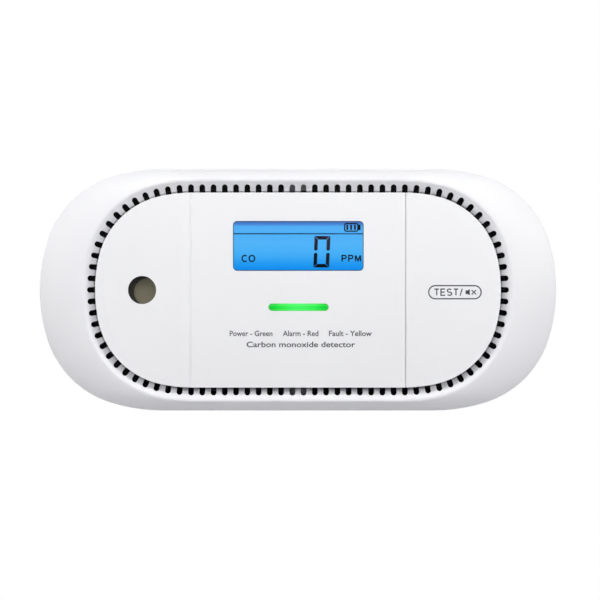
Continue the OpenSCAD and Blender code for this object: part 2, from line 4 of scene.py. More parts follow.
import bmesh
import bpy
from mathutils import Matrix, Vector


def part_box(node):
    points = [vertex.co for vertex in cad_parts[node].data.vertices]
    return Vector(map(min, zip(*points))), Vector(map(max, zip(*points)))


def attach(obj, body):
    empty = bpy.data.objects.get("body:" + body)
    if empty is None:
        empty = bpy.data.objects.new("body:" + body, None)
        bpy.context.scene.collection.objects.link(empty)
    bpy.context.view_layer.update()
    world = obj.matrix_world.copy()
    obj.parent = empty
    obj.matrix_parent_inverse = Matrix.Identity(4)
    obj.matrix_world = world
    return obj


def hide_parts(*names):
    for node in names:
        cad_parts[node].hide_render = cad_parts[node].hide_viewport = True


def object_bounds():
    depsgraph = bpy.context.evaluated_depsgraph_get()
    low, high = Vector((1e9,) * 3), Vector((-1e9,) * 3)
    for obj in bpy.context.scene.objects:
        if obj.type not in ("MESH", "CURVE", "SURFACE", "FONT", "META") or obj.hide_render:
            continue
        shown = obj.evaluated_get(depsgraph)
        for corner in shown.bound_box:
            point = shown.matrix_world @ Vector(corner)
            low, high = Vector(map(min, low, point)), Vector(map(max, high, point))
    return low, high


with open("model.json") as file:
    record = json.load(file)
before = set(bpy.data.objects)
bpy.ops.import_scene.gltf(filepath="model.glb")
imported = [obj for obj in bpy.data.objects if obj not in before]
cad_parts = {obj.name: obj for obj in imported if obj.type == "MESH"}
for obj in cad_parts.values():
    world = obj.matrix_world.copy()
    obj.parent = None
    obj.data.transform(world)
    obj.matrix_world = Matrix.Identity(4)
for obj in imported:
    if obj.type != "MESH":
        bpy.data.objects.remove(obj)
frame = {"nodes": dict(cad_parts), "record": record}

# The CAD box, kept before any piece is added
CAD_BOX = [list(corner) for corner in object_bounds()]
NODES = frame["nodes"]
MM = 0.001


# ---------- measures taken from the frame ----------

def middle(node):
    low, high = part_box(node)
    return (low + high) / 2


def span(node):
    low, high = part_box(node)
    return high - low


# The window and the light pipe each have a flange behind the panel, wider than what shows
WINDOW_FLANGE = 1.5 * MM
BAR_FLANGE = 1.25 * MM

PANEL_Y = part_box("face_plate")[0].y
GLASS_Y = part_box("lcd_glass")[0].y
PANEL_MID = Vector((0.0, PANEL_Y, 0.0))
WINDOW_SIZE = span("display_window") - Vector((2 * WINDOW_FLANGE, 0, 2 * WINDOW_FLANGE))
WINDOW_MID = middle("display_window")
BAR_MID = middle("light_pipe")
BAR_W = span("light_pipe").x - 2 * BAR_FLANGE
BAR_H = span("light_pipe").z - 2 * BAR_FLANGE
BUTTON_MID = middle("test_button")


# ---------- materials ----------

def linear(value):
    """One sRGB channel, 0 to 255, as linear light."""
    c = value / 255
    return c / 12.92 if c <= 0.04045 else ((c + 0.055) / 1.055) ** 2.4


def colour(r, g, b):
    return (linear(r), linear(g), linear(b), 1.0)


class Surface:
    """A node material on one Principled shader, with noise in object space to vary it."""

    def __init__(self, name, metallic=0.0, roughness=0.5, coat=0.0, ior=1.47):
        self.material = bpy.data.materials.new(name)
        self.material.use_nodes = True
        self.tree = self.material.node_tree
        self.shader = self.tree.nodes["Principled BSDF"]
        self.set("Metallic", metallic)
        self.set("Roughness", roughness)
        self.set("Coat Weight", coat)
        self.set("IOR", ior)
        self.place = self.node("ShaderNodeTexCoord").outputs["Object"]

    def node(self, kind, **settings):
        made = self.tree.nodes.new(kind)
        for key, value in settings.items():
            setattr(made, key, value)
        return made

    def set(self, socket, value):
        self.shader.inputs[socket].default_value = value

    def link(self, a, b):
        self.tree.links.new(a, b)

    def noise(self, scale, detail=3.0, stretch=None):
        texture = self.node("ShaderNodeTexNoise")
        texture.inputs["Scale"].default_value = scale
        texture.inputs["Detail"].default_value = detail
        place = self.place
        if stretch:
            mapping = self.node("ShaderNodeMapping")
            mapping.inputs["Scale"].default_value = stretch
            self.link(place, mapping.inputs["Vector"])
            place = mapping.outputs["Vector"]
        self.link(place, texture.inputs["Vector"])
        return texture.outputs["Fac"]

    def ramp(self, factor, stops):
        made = self.node("ShaderNodeValToRGB")
        elements = made.color_ramp.elements
        while len(elements) < len(stops):
            elements.new(0.5)
        for element, (position, tint) in zip(elements, stops):
            element.position = position
            element.color = tint
        self.link(factor, made.inputs["Fac"])
        return made.outputs["Color"]

    def along(self, axis, low, high):
        """0 to 1 between two places on one axis."""
        split = self.node("ShaderNodeSeparateXYZ")
        self.link(self.place, split.inputs["Vector"])
        span_node = self.node("ShaderNodeMapRange")
        span_node.inputs["From Min"].default_value = low
        span_node.inputs["From Max"].default_value = high
        self.link(split.outputs[axis], span_node.inputs["Value"])
        return span_node.outputs["Result"]

    def paint(self, dark, light, scale=22.0, detail=3.0, stretch=None):
        tint = self.ramp(self.noise(scale, detail, stretch), [(0.3, dark), (0.7, light)])
        self.link(tint, self.shader.inputs["Base Color"])
        return self

    def rough(self, low, high, scale=300.0, stretch=None):
        grey = self.node("ShaderNodeMapRange")
        grey.inputs["To Min"].default_value = low
        grey.inputs["To Max"].default_value = high
        self.link(self.noise(scale, 2.0, stretch), grey.inputs["Value"])
        self.link(grey.outputs["Result"], self.shader.inputs["Roughness"])
        return self

    def bump(self, height, depth_mm, strength=1.0):
        made = self.node("ShaderNodeBump")
        made.inputs["Strength"].default_value = strength
        made.inputs["Distance"].default_value = depth_mm * MM
        self.link(height, made.inputs["Height"])
        self.link(made.outputs["Normal"], self.shader.inputs["Normal"])
        return self


def moulded(name, dark, light, low=0.42, high=0.52, grain=2600.0, depth=0.006):
    """A moulded plastic with a fine spark-eroded grain."""
    made = Surface(name, ior=1.46).paint(dark, light).rough(low, high)
    made.bump(made.noise(grain, 2.0), depth, 0.35)
    return made.material


def metal(name, dark, light, low, high, stretch=(1, 1, 1), scale=900.0):
    made = Surface(name, metallic=1.0).paint(dark, light, 60.0).rough(low, high, scale, stretch)
    made.bump(made.noise(scale, 2.0, stretch), 0.004, 0.3)
    return made.material


def lit_display():
    """The display's blue backlight, deeper towards the bottom, with a painted shadow of the window opening's
    top edge: the indigo band under its top edge.
    """
    made = Surface("display_glow_painted_shadow", roughness=0.3)
    low = WINDOW_MID.z - WINDOW_SIZE.z / 2
    high = WINDOW_MID.z + WINDOW_SIZE.z / 2
    glow = made.ramp(made.along("Z", low, high), [
        (0.0, colour(14, 132, 222)), (0.06, colour(20, 149, 242)), (0.17, colour(42, 160, 243)),
        (0.3, colour(68, 176, 248)), (0.5, colour(84, 184, 250)), (0.88, colour(86, 179, 248)),
        # From 0.9 up, the indigo stops under the top edge are painted shadow of the window opening's edge.
        (0.9, colour(86, 172, 241)), (0.92, colour(79, 147, 224)), (0.94, colour(77, 133, 217)),
        (1.0, colour(70, 104, 170))])
    made.link(glow, made.shader.inputs["Emission Color"])
    made.set("Emission Strength", 0.96)
    made.set("Specular IOR Level", 0.1)
    made.paint(colour(2, 20, 60), colour(4, 26, 70), 200.0)
    made.bump(made.noise(1800.0), 0.002, 0.2)
    return made.material


def lit_bar():
    """The status bar: brightest in its middle, deep green at its ends."""
    made = Surface("status_glow", roughness=0.2)
    glow = made.ramp(made.along("X", BAR_MID.x - BAR_W / 2, BAR_MID.x + BAR_W / 2), [
        (0.0, colour(6, 188, 42)), (0.1, colour(10, 206, 48)), (0.22, colour(44, 228, 70)),
        (0.4, colour(68, 242, 96)), (0.6, colour(68, 242, 96)), (0.8, colour(42, 228, 70)),
        (0.9, colour(8, 208, 48)), (1.0, colour(4, 188, 42))])
    made.link(glow, made.shader.inputs["Emission Color"])
    made.set("Emission Strength", 0.86)
    made.paint(colour(10, 110, 36), colour(16, 122, 44), 300.0)
    made.bump(made.noise(900.0), 0.003, 0.2)
    return made.material


def clear_window():
    made = Surface("clear_acrylic", roughness=0.02, ior=1.18)
    made.paint(colour(250, 252, 255), colour(255, 255, 255), 40.0)
    made.set("Transmission Weight", 1.0)
    made.bump(made.noise(400.0, 1.0), 0.0006, 0.1)
    return made.material


def woven_mesh():
    """Black insect mesh: two crossed sets of fine wires."""
    made = Surface("insect_mesh", roughness=0.7)
    made.paint(colour(12, 12, 13), colour(22, 22, 24), 800.0)
    waves = []
    for axis in ("X", "Z"):
        wave = made.node("ShaderNodeTexWave", bands_direction=axis)
        wave.inputs["Scale"].default_value = 600.0
        made.link(made.place, wave.inputs["Vector"])
        waves.append(wave.outputs["Fac"])
    top = made.node("ShaderNodeMath", operation="MAXIMUM")
    made.link(waves[0], top.inputs[0])
    made.link(waves[1], top.inputs[1])
    made.bump(top.outputs["Value"], 0.08)
    return made.material


def circuit_mask():
    """Green solder mask with faint traces under it."""
    made = Surface("solder_mask", roughness=0.3, coat=0.4)
    brick = made.node("ShaderNodeTexBrick")
    brick.inputs["Scale"].default_value = 260.0
    brick.inputs["Mortar Size"].default_value = 0.03
    brick.inputs["Color1"].default_value = colour(14, 84, 44)
    brick.inputs["Color2"].default_value = colour(18, 92, 50)
    brick.inputs["Mortar"].default_value = colour(40, 128, 74)
    turn = made.node("ShaderNodeMapping")
    turn.inputs["Rotation"].default_value = (math.radians(90), 0, 0)
    made.link(made.place, turn.inputs["Vector"])
    made.link(turn.outputs["Vector"], brick.inputs["Vector"])
    made.link(brick.outputs["Color"], made.shader.inputs["Base Color"])
    made.rough(0.25, 0.4)
    made.bump(brick.outputs["Fac"], 0.02, 0.5)
    return made.material


WHITE = moulded("white_case", colour(241, 241, 244), colour(244, 244, 246))
PANEL_WHITE = moulded("white_panel", colour(243, 243, 245), colour(246, 246, 248), 0.4, 0.5)
REAR_WHITE = moulded("white_rear", colour(236, 236, 238), colour(240, 240, 242), 0.5, 0.62, 1800.0, 0.012)
BLACK = moulded("black_moulding", colour(18, 18, 19), colour(26, 26, 28), 0.45, 0.6)
CHIP = moulded("chip_epoxy", colour(22, 22, 24), colour(30, 30, 33), 0.55, 0.7, 4000.0)
INK = moulded("grey_ink", colour(62, 62, 66), colour(70, 70, 75), 0.55, 0.65)
SEGMENT = moulded("display_segment", colour(10, 12, 22), colour(18, 18, 30), 0.3, 0.4)
# A lighter, purplish copy of the segment ink, for the digit's top bars and the battery's cells: painted
# light.
SEGMENT_PAINTED_LIGHT = moulded("display_segment_painted_light", colour(52, 42, 62), colour(60, 46, 64), 0.3, 0.4)
HEADER_LINE = moulded("display_rule", colour(26, 96, 148), colour(32, 104, 156), 0.3, 0.4)
DISPLAY_EDGE = moulded("display_edge_ink", colour(30, 52, 84), colour(36, 58, 92), 0.3, 0.4)
RUBBER = moulded("dark_rubber", colour(32, 32, 34), colour(40, 40, 42), 0.7, 0.85, 900.0, 0.02)
# Darkened for the foam ring's crescent in the port, which is painted shadow.
FOAM_PORT_SHADE = moulded("dark_foam_port_shade", colour(35, 35, 30), colour(46, 47, 40), 0.85, 0.95, 700.0, 0.08)
CERAMIC = moulded("fired_ceramic", colour(214, 211, 202), colour(228, 225, 216), 0.5, 0.7)
DIFFUSER = moulded("light_guide", colour(236, 240, 244), colour(244, 247, 250), 0.3, 0.4)
LED = moulded("led_phosphor", colour(236, 214, 104), colour(246, 226, 124), 0.25, 0.35)
SLEEVE = moulded("cell_sleeve_film", colour(28, 66, 124), colour(34, 74, 136), 0.22, 0.3, 200.0, 0.01)
LABEL = metal("label_foil", colour(196, 198, 202), colour(208, 210, 214), 0.35, 0.5, (1, 1, 24))
DISC = metal("sounder_disc_metal", colour(134, 130, 111), colour(151, 147, 127), 0.5, 0.62, (1, 1, 1), 500.0)
STEEL = metal("zinc_plate", colour(176, 178, 182), colour(196, 198, 202), 0.25, 0.4)
TIN = metal("tinned_strip", colour(204, 202, 196), colour(220, 218, 212), 0.2, 0.32)
GOLD = metal("gold_flash", colour(206, 168, 92), colour(222, 186, 108), 0.2, 0.3)
COPPER = metal("enamelled_wire", colour(160, 84, 44), colour(186, 104, 58), 0.25, 0.4, (1, 14, 1), 1200.0)
CAN = metal("can_metal", colour(190, 192, 196), colour(206, 208, 212), 0.22, 0.36, (1, 30, 1))
DISPLAY = lit_display()
STATUS = lit_bar()
WINDOW = clear_window()
MESH = woven_mesh()
BOARD = circuit_mask()

NODE_MATERIALS = {
    "wall_plate": REAR_WHITE, "rear_housing": REAR_WHITE, "front_cover": WHITE, "face_plate": PANEL_WHITE,
    "test_button": PANEL_WHITE, "vent_screen": MESH, "display_window": WINDOW, "lcd_frame": DIFFUSER,
    "lcd_glass": DISPLAY, "lcd_backlight": DIFFUSER, "backlight_led": LED, "zebra_strips": RUBBER,
    "light_pipe": STATUS, "status_leds": LED, "circuit_board": BOARD, "test_switch": BLACK,
    "switch_plunger": BLACK, "sounder_diaphragm": DISC, "sounder_ceramic": CERAMIC,
    "sounder_gasket": FOAM_PORT_SHADE, "sounder_clamp": BLACK, "sounder_springs": GOLD, "co_sensor": CAN,
    "sensor_cap": BLACK, "sensor_pins": GOLD, "microcontroller": CHIP, "controller_leads": TIN,
    "sounder_coil": CHIP, "coil_winding": COPPER, "capacitors": SLEEVE, "chip_parts": CERAMIC,
    "board_screws": STEEL, "housing_screws": STEEL, "battery_cell": CAN, "cell_sleeve": SLEEVE,
    "battery_spring": TIN, "negative_contact": TIN, "positive_contact": TIN, "battery_door": REAR_WHITE,
    "rating_label": LABEL,
}


def dress(piece, material):
    piece.data.materials.clear()
    piece.data.materials.append(material)


for node_name, node_object in NODES.items():
    for slot in node_object.material_slots:
        slot.material = NODE_MATERIALS[node_name]


# ---------- mesh helpers ----------

BODIES = frame["record"]["behaviour"]["bodies"]
BODY_OF = {node: body for body, members in BODIES.items() for node in members}


def new_piece(name, mesh, material, body):
    piece = bpy.data.objects.new(name, mesh)
    bpy.context.scene.collection.objects.link(piece)
    dress(piece, material)
    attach(piece, body)
    return piece


def evaluated(piece):
    """The piece's mesh with its modifiers applied."""
    bpy.context.view_layer.update()
    graph = bpy.context.evaluated_depsgraph_get()
    return bpy.data.meshes.new_from_object(piece.evaluated_get(graph), depsgraph=graph)


def polished(node, round_mm):
    """A copy of a CAD node with joined vertices, rounded edges and smooth shading, in the node's place."""
    join_distance = 0.0005 * MM
    flat_angle = math.radians(0.25)
    sharp_angle = math.radians(32.0)
    mesh = NODES[node].data.copy()
    for layer in ("custom_normal", "sharp_edge", "sharp_face"):
        if layer in mesh.attributes:
            mesh.attributes.remove(mesh.attributes[layer])
    bm = bmesh.new()
    bm.from_mesh(mesh)
    bmesh.ops.remove_doubles(bm, verts=bm.verts, dist=join_distance)
    bmesh.ops.dissolve_limit(bm, angle_limit=flat_angle, verts=bm.verts, edges=bm.edges)
    for face in bm.faces:
        face.smooth = True
    bm.to_mesh(mesh)
    bm.free()
    piece = bpy.data.objects.new(node + "_moulding", mesh)
    bpy.context.scene.collection.objects.link(piece)
    bevel = piece.modifiers.new("round_edges", "BEVEL")
    bevel.width = round_mm * MM
    bevel.segments = 2
    bevel.limit_method = "ANGLE"
    bevel.angle_limit = sharp_angle
    bevel.use_clamp_overlap = True
    normals = piece.modifiers.new("even_shading", "WEIGHTED_NORMAL")
    normals.keep_sharp = True
    normals.weight = 60
    rounded = evaluated(piece)
    piece.modifiers.clear()
    piece.data = rounded
    dress(piece, NODE_MATERIALS[node])
    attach(piece, BODY_OF[node])
    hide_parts(node)
    return piece


def slab_mesh(name, outlines, y, thick):
    """Flat shapes in the XZ plane, given as lists of (x, z), raised towards the room."""
    bm = bmesh.new()
    for outline in outlines:
        verts = [bm.verts.new((x, y, z)) for x, z in outline]
        face = bm.faces.new(verts)
        made = bmesh.ops.extrude_face_region(bm, geom=[face])
        moved = [v for v in made["geom"] if isinstance(v, bmesh.types.BMVert)]
        bmesh.ops.translate(bm, verts=moved, vec=(0, -thick, 0))
    bmesh.ops.recalc_face_normals(bm, faces=bm.faces)
    mesh = bpy.data.meshes.new(name)
    bm.to_mesh(mesh)
    bm.free()
    return mesh


def band(points, width, closed=True):
    """Four-cornered shapes that make a line of one width along the points."""
    shapes = []
    count = len(points)
    half = width / 2
    last = count if closed else count - 1
    for i in range(last):
        here, after = Vector(points[i]), Vector(points[(i + 1) % count])
        before = Vector(points[i - 1]) if closed or i > 0 else here
        beyond = Vector(points[(i + 2) % count]) if closed or i + 2 < count else after
        side_here = mitre(before, here, after, half)
        side_after = mitre(here, after, beyond, half)
        shapes.append([tuple(here + side_here), tuple(after + side_after),
                       tuple(after - side_after), tuple(here - side_here)])
    return shapes


def mitre(a, b, c, half):
    """The offset at b of a line through a, b and c."""
    incoming = (b - a).normalized() if (b - a).length > 1e-9 else (c - b).normalized()
    outgoing = (c - b).normalized() if (c - b).length > 1e-9 else incoming
    middle_way = (incoming + outgoing).normalized()
    normal = Vector((-middle_way.y, middle_way.x))
    return normal * half / max(0.4, middle_way.dot(incoming))


def arc(centre, radius, start, end, steps):
    angles = [math.radians(start + (end - start) * i / steps) for i in range(steps + 1)]
    return [(centre[0] + radius * math.cos(a), centre[1] + radius * math.sin(a)) for a in angles]


def pill(centre, width, height, steps=12):
    radius = height / 2
    reach = width / 2 - radius
    right = arc((centre[0] + reach, centre[1]), radius, -90, 90, steps)
    left = arc((centre[0] - reach, centre[1]), radius, 90, 270, steps)
    return right + left


def letter_strokes(letter):
    """One capital as lines through points, in a box of height 1. Returns its width and its lines."""
    def bow(mid_x, mid_z, reach_x, reach_z, start, end, steps=12):
        return [(mid_x + reach_x * x, mid_z + reach_z * z) for x, z in arc((0, 0), 1, start, end, steps)]

    if letter == "C":
        return 0.84, [bow(0.44, 0.5, 0.44, 0.5, 48, 312, 20)]
    if letter == "O":
        return 0.9, [bow(0.45, 0.5, 0.45, 0.5, 90, 450, 28)]
    if letter == "P":
        return 0.66, [[(0, 0), (0, 1), (0.4, 1)] + bow(0.4, 0.74, 0.26, 0.26, 75, -90, 8) + [(0.02, 0.48)]]
    if letter == "M":
        return 0.82, [[(0, 0), (0, 1)], [(0.04, 1), (0.41, 0.12), (0.78, 1)], [(0.82, 1), (0.82, 0)]]
    if letter == "T":
        return 0.74, [[(0, 1), (0.74, 1)], [(0.37, 1), (0.37, 0)]]
    if letter == "E":
        return 0.66, [[(0.66, 1), (0, 1), (0, 0), (0.66, 0)], [(0, 0.52), (0.6, 0.52)]]
    upper = bow(0.37, 0.755, 0.33, 0.245, 30, 250, 12)
    lower = bow(0.37, 0.255, 0.35, 0.255, 70, -150, 12)
    return 0.74, [upper + lower]


def capitals(words, box, line):
    """Plain capitals with lines of one width, fitted in a box of (middle x, middle z, width, height)."""
    mid_x, mid_z, width, height = box
    tall = height - line
    letters = [letter_strokes(letter) for letter in words]
    gap = (width - line - tall * sum(size for size, _ in letters)) / max(1, len(words) - 1)
    shapes, x = [], mid_x - (width - line) / 2
    for size, lines in letters:
        for points in lines:
            placed = [(x + tall * a, mid_z + tall * (b - 0.5)) for a, b in points]
            shapes += band(placed, line, closed=False)
        x += tall * size + gap
    return shapes


def lettering(name, words, box, y, material, body):
    """Printed words, a hair proud of the surface, fitted in a box of (middle x, middle z, width, height)."""
    curve = bpy.data.curves.new(name, "FONT")
    curve.body = words
    curve.offset = 0.016
    curve.extrude = 0.01
    curve.resolution_u = 3
    text = bpy.data.objects.new(name, curve)
    bpy.context.scene.collection.objects.link(text)
    mesh = evaluated(text)
    bpy.data.objects.remove(text)
    low_x, high_x = min(v.co.x for v in mesh.vertices), max(v.co.x for v in mesh.vertices)
    low_z, high_z = min(v.co.y for v in mesh.vertices), max(v.co.y for v in mesh.vertices)
    mid_x, mid_z, width, height = box
    for vertex in mesh.vertices:
        across, up, out = vertex.co
        vertex.co = (mid_x + width * ((across - low_x) / (high_x - low_x) - 0.5),
                     y - out * MM,
                     mid_z + height * ((up - low_z) / (high_z - low_z) - 0.5))
    return new_piece(name, mesh, material, body)


# ---------- case and panel ----------

EDGE_ROUNDS = {
    "front_cover": 0.1, "rear_housing": 0.18, "face_plate": 0.13, "test_button": 0.13, "wall_plate": 0.25,
    "battery_door": 0.2,
}
for node_name, round_mm in EDGE_ROUNDS.items():
    polished(node_name, round_mm)


# ---------- display ----------

def display_piece(name, outlines, material):
    """Flat symbols a hair in front of the display's glass."""
    gap, thick = 0.01 * MM, 0.03 * MM
    mesh = slab_mesh(name, outlines, GLASS_Y - gap, thick)
    return new_piece(name, mesh, material, "alarm")


def digit_zero():
    """Six bars with mitred ends, leaning a little to the right."""
    mid_x, mid_z = WINDOW_MID.x + 7.3 * MM, WINDOW_MID.z - 1.82 * MM
    width, height, bar, gap, lean = 4.9 * MM, 9.75 * MM, 1.1 * MM, 0.09 * MM, 0.042
    half_w, half_h, half_gap = width / 2, height / 2, 0.28 * MM
    shoulder = half_gap + 0.3 * bar

    def across(side):
        """The bar along the top (side 1) or the bottom (side -1)."""
        inner, z = half_w - bar - gap, side * half_h
        return [(-half_w + gap, z), (half_w - gap, z), (inner, z - side * bar), (-inner, z - side * bar)]

    def upright(side, up):
        """The bar at one side, above (up 1) or below (up -1) the middle, with a blunt point there."""
        outer, inner = side * half_w, side * (half_w - bar)
        middle_x = (outer + inner) / 2
        return [(outer, up * (half_h - gap)), (inner, up * (half_h - bar - gap)),
                (inner, up * shoulder), (middle_x, up * half_gap), (outer, up * shoulder)]

    # The top bars take the lighter copy of the segment ink: painted light.
    for name, up, ink in (("digit_top_bars", 1, SEGMENT_PAINTED_LIGHT), ("digit_bottom_bars", -1, SEGMENT)):
        shapes = [across(up), upright(1, up), upright(-1, up)]
        placed = [[(mid_x + x + lean * z, mid_z + z) for x, z in shape] for shape in shapes]
        display_piece(name, placed, ink)


def rounded_box(mid_x, mid_z, width, height, radius, steps=5):
    """The outline of a box with round corners."""
    reach_x, reach_z = width / 2 - radius, height / 2 - radius
    corners = ((1, -1, -90), (1, 1, 0), (-1, 1, 90), (-1, -1, 180))
    points = []
    for side_x, side_z, start in corners:
        centre = (mid_x + side_x * reach_x, mid_z + side_z * reach_z)
        points += arc(centre, radius, start, start + 90, steps)
    return points


def battery_symbol():
    """A round-cornered shell with a nose and three cells in it, at the top right of the display."""
    mid_x, mid_z = WINDOW_MID.x + 16.4 * MM, WINDOW_MID.z + 5.72 * MM
    shell_w, shell_h, shell_r, shell_line = 4.1 * MM, 2.35 * MM, 0.55 * MM, 0.4 * MM
    nose_x, nose_w, nose_h, nose_r = 2.55 * MM, 0.6 * MM, 1.75 * MM, 0.25 * MM
    cell_w, cell_h, cell_r, cell_pitch, cell_shift = 0.6 * MM, 1.55 * MM, 0.08 * MM, 1.18 * MM, -0.05 * MM
    shell = band(rounded_box(mid_x, mid_z, shell_w, shell_h, shell_r), shell_line)
    nose = rounded_box(mid_x + nose_x, mid_z, nose_w, nose_h, nose_r)
    cells = [rounded_box(mid_x + i * cell_pitch + cell_shift, mid_z, cell_w, cell_h, cell_r)
             for i in (-1, 0, 1)]
    display_piece("battery_symbol", shell + [nose], SEGMENT)
    # The cells take the lighter copy of the segment ink: painted light.
    display_piece("battery_cells", cells, SEGMENT_PAINTED_LIGHT)


def header_rule():
    """The thin line under the display's top row."""
    row_height, line = 3.95 * MM, 0.42 * MM
    z = WINDOW_MID.z + WINDOW_SIZE.z / 2 - row_height
    ends = [(WINDOW_MID.x - WINDOW_SIZE.x / 2, z), (WINDOW_MID.x + WINDOW_SIZE.x / 2, z)]
    display_piece("display_rule", band(ends, line, closed=False), HEADER_LINE)


def gas_and_unit():
    """The gas at the left of the display and its unit at the right."""
    z, height, line = WINDOW_MID.z - 3.9 * MM, 2.3 * MM, 0.42 * MM
    for words, x, width in (("CO", -15.45, 4.3), ("PPM", 16.4, 6.1)):
        box = (WINDOW_MID.x + x * MM, z, width * MM, height)
        display_piece("display_" + words.lower(), capitals(words, box, line), SEGMENT)


def display_border():
    """The dark line round the display's edge."""
    inset, corner_r, line = 0.15 * MM, 1.2 * MM, 0.26 * MM
    width, height = WINDOW_SIZE.x - inset, WINDOW_SIZE.z - inset
    outline = rounded_box(WINDOW_MID.x, WINDOW_MID.z, width, height, corner_r)
    display_piece("display_edge", band(outline, line), DISPLAY_EDGE)


digit_zero()
battery_symbol()
header_rule()
gas_and_unit()
display_border()


# ---------- status bar ----------

def status_bar():
    """A domed pill that fills the slot in the panel, on the light pipe's stem."""
    crown_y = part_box("light_pipe")[0].y
    foot_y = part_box("light_pipe")[1].y
    # Each ring: how much narrower it is, as a share of the bar's height, and where it stands
    rings = [(0.0, foot_y), (0.0, crown_y + 0.55 * MM), (0.12, crown_y + 0.3 * MM),
             (0.35, crown_y + 0.12 * MM), (0.62, crown_y + 0.03 * MM), (0.85, crown_y)]
    bm = bmesh.new()
    loops = []
    for inset, y in rings:
        shrink = inset * BAR_H
        points = pill((BAR_MID.x, BAR_MID.z), BAR_W - shrink, BAR_H - shrink)
        loops.append([bm.verts.new((x, y, z)) for x, z in points])
    for lower, upper in zip(loops, loops[1:]):
        for i in range(len(lower)):
            j = (i + 1) % len(lower)
            bm.faces.new((lower[i], lower[j], upper[j], upper[i]))
    bm.faces.new(loops[0])
    bm.faces.new(loops[-1])
    bmesh.ops.recalc_face_normals(bm, faces=bm.faces)
    for face in bm.faces:
        face.smooth = True
    mesh = bpy.data.meshes.new("status_bar_lens")
    bm.to_mesh(mesh)
    bm.free()
    lens = new_piece("status_bar_lens", mesh, STATUS, "alarm")
    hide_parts("light_pipe")


# ---------- sounder port ----------

def foam_ring_and_port_shade():
    """The foam ring between the disc and the panel. Its rounded hole stands to the right of the port and a
    little below it, so that the ring's dark rim shows at the port's left and top as painted shadow in the
    port.
    """
    front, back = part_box("sounder_gasket")[0].y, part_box("sounder_gasket")[1].y
    ring_mid, port_mid = middle("sounder_gasket"), middle("sounder_diaphragm")
    outer_mid, outer_r = (ring_mid.x, ring_mid.z), span("sounder_gasket").x / 2
    # The hole's shift lets the ring's dark rim show at the port's left and top: painted shadow in the port.
    hole_right, hole_down, hole_r = 1.75 * MM, 0.6 * MM, 4.3 * MM
    hole_mid = (port_mid.x + hole_right, port_mid.z - hole_down)
    lip, lip_mid = 0.35 * MM, 0.1 * MM
    rings = [(outer_mid, outer_r, back), (outer_mid, outer_r, front),
             (hole_mid, hole_r + lip, front), (hole_mid, hole_r + lip_mid, front + lip_mid),
             (hole_mid, hole_r, front + lip), (hole_mid, hole_r, back)]
    steps = 64
    bm = bmesh.new()
    loops = [[bm.verts.new((x, y, z)) for x, z in arc(centre, radius, 0, 360, steps)[:-1]]
             for centre, radius, y in rings]
    for here, after in zip(loops, loops[1:] + loops[:1]):
        for i in range(steps):
            j = (i + 1) % steps
            bm.faces.new((here[i], here[j], after[j], after[i]))
    bmesh.ops.recalc_face_normals(bm, faces=bm.faces)
    mesh = bpy.data.meshes.new("foam_ring_and_port_shade")
    bm.to_mesh(mesh)
    bm.free()
    ring = new_piece("foam_ring_and_port_shade", mesh, FOAM_PORT_SHADE, "alarm")
    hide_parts("sounder_gasket")


status_bar()
foam_ring_and_port_shade()


# ---------- printing ----------

INK_Y = PANEL_Y - 0.002 * MM
INK_THICK = 0.016 * MM


def printed(name, outlines):
    """Ink on the press panel."""
    mesh = slab_mesh(name, outlines, INK_Y, INK_THICK)
    return new_piece(name, mesh, INK, "test_button")


def button_label():
    """A pill-shaped frame round a plain word, a stroke and a muted speaker."""
    mid_x, mid_z = BUTTON_MID.x + 0.45 * MM, -0.65 * MM
    frame_w, frame_h, line, thin_line = 16.2 * MM, 4.05 * MM, 0.38 * MM, 0.34 * MM
    printed("label_outline", band(pill((mid_x, mid_z), frame_w, frame_h, 16), line))
    word_box = (mid_x - 2.65 * MM, mid_z, 7.75 * MM, 2.3 * MM)
    printed("label_test", capitals("TEST", word_box, line))
    foot, head, half_h = mid_x + 1.6 * MM, mid_x + 2.25 * MM, 1.1 * MM
    stroke = [(foot, mid_z - half_h), (head, mid_z + half_h)]
    printed("label_stroke", band(stroke, thin_line, closed=False))
    back, neck, mouth = mid_x + 3.3 * MM, mid_x + 3.95 * MM, mid_x + 4.6 * MM
    low, high = 0.58 * MM, 1.0 * MM
    cone = [(back, mid_z - low), (neck, mid_z - low), (mouth, mid_z - high),
            (mouth, mid_z + high), (neck, mid_z + low), (back, mid_z + low)]
    printed("label_speaker", [cone])
    cross_x, arm = mid_x + 5.87 * MM, 0.68 * MM
    for i, tilt in enumerate((-1, 1)):
        ends = [(cross_x - arm, mid_z - tilt * arm), (cross_x + arm, mid_z + tilt * arm)]
        printed(f"label_cross_{i}", band(ends, thin_line, closed=False))


def legend():
    """Plain words under the status bar: what its colours say, and what the object is."""
    # Each line: its name and words, then its middle x and z, its width and its height in millimetres
    lines = (("legend_power", "Power - Green", -14.5, -13.4, 13.2, 1.7),
             ("legend_alarm", "Alarm - Red", 0.8, -13.4, 11.0, 1.7),
             ("legend_fault", "Fault - Yellow", 16.2, -13.4, 13.2, 1.7),
             ("legend_type", "Carbon monoxide detector", 0.9, -16.8, 33.6, 1.75))
    for name, words, x, z, width, height in lines:
        box = (x * MM, z * MM, width * MM, height * MM)
        lettering(name, words, box, INK_Y, INK, "alarm")


